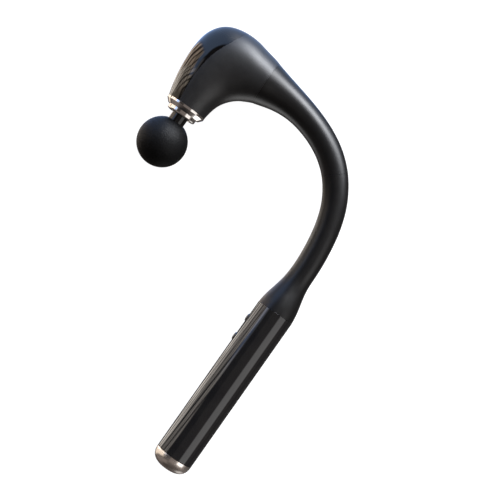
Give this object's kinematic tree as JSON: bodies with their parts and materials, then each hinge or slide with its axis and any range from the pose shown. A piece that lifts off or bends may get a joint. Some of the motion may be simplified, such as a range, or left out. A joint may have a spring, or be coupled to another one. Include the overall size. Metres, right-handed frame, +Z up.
{
  "type": "percussion massager",
  "caption": "Hook-shaped percussion massager: a foam ball on a reciprocating plunger below a domed motor head, a curved tapering arm and a straight grip with buttons.",
  "frame": {"origin": "bottom centre of the bounding box, with the massager lying on its side", "axes": "+Y along the grip from the end cap towards the arm, +Z up and square to the plane of the hook, the motor head on the -X side"},
  "size_m": [0.2326, 0.3892, 0.05],
  "materials": {
    "grip_gloss": "deep gloss black lacquer on the grip tube",
    "cap_nickel": "polished warm nickel",
    "soft_touch": "satin soft-touch black",
    "satin_shell": "satin black moulding, a little lighter than the arm",
    "cover_gloss": "piano black front cover",
    "chrome_trim": "polished chrome",
    "foam": "matt black dense foam with a fine pebbled skin",
    "neck_gloss": "gloss black attachment neck",
    "seal_rubber": "matt black rubber",
    "steel": "machined steel",
    "aluminium": "die-cast or turned aluminium",
    "polymer": "off-white bearing polymer",
    "copper": "enamelled copper winding",
    "laminations": "dark coated iron and magnet",
    "circuit": "green solder mask",
    "black_plastic": "black moulded plastic",
    "cell_wrap": "shrink-wrapped steel cell",
    "wire_sleeve": "black braided sleeve"
  },
  "bodies": {
    "housing": {"grip_tube": "grip_gloss", "end_cap": "cap_nickel", "cap_seal": "seal_rubber", "usb_socket": "steel", "charge_board": "circuit", "battery_carrier": "black_plastic", "cell_1": "cell_wrap", "cell_2": "cell_wrap", "contact_negative": "steel", "contact_link": "steel", "contact_positive": "steel", "control_board": "circuit", "controller_chip": "black_plastic", "driver_chip": "black_plastic", "board_connector": "polymer", "switch_mode": "steel", "switch_power": "steel", "arm_lower": "soft_touch", "arm_upper": "soft_touch", "arm_coupler": "aluminium", "head_coupler": "aluminium", "wiring_loom": "wire_sleeve", "front_cover": "cover_gloss", "head_shell_near": "satin_shell", "head_shell_far": "satin_shell", "nose_bezel": "chrome_trim", "collar_ring": "chrome_trim", "wiper_seal": "seal_rubber", "guide_bush": "polymer", "isolation_ring": "seal_rubber", "motor_frame": "aluminium", "frame_screw_1": "steel", "frame_screw_2": "steel", "frame_screw_3": "steel", "damper_pad": "seal_rubber", "bearing_front": "steel", "bearing_rear": "steel", "motor_stator": "laminations", "coil_1": "copper", "coil_2": "copper", "coil_3": "copper", "coil_4": "copper", "coil_5": "copper", "coil_6": "copper"},
    "drive": {"rotor_bell": "steel", "magnet_ring": "laminations", "motor_shaft": "steel", "crank_disc": "steel", "crank_roller": "steel"},
    "plunger": {"plunger": "aluminium"},
    "ball_attachment": {"ball_neck": "neck_gloss", "neck_o_ring": "seal_rubber", "massage_ball": "foam"},
    "button_power": {"button_power": "grip_gloss"},
    "button_mode": {"button_mode": "grip_gloss"}
  },
  "joints": [
    {"name": "plunger_stroke", "type": "slide", "parent": "housing", "child": "plunger", "axis": [0, 1, 0], "range_m": [-0.004, 0.004]},
    {"name": "crank_turn", "type": "hinge", "parent": "housing", "child": "drive", "pos_m": [-0.08839, 0.14843, 0.015], "axis": [0, 0, 1], "range_deg": [-90, 90]},
    {"name": "attachment_pull", "type": "slide", "parent": "plunger", "child": "ball_attachment", "axis": [0, -1, 0], "range_m": [0, 0.03]},
    {"name": "power_press", "type": "slide", "parent": "housing", "child": "button_power", "axis": [1, 0, 0], "range_m": [0, 0.0006], "stiffness_N_per_m": 1500, "springref_m": -0.0005},
    {"name": "mode_press", "type": "slide", "parent": "housing", "child": "button_mode", "axis": [1, 0, 0], "range_m": [0, 0.0006], "stiffness_N_per_m": 1500, "springref_m": -0.0005}
  ],
  "couplings": [
    {"joint": "crank_turn", "follows": "plunger_stroke", "rad_per_m": 392.69}
  ]
}
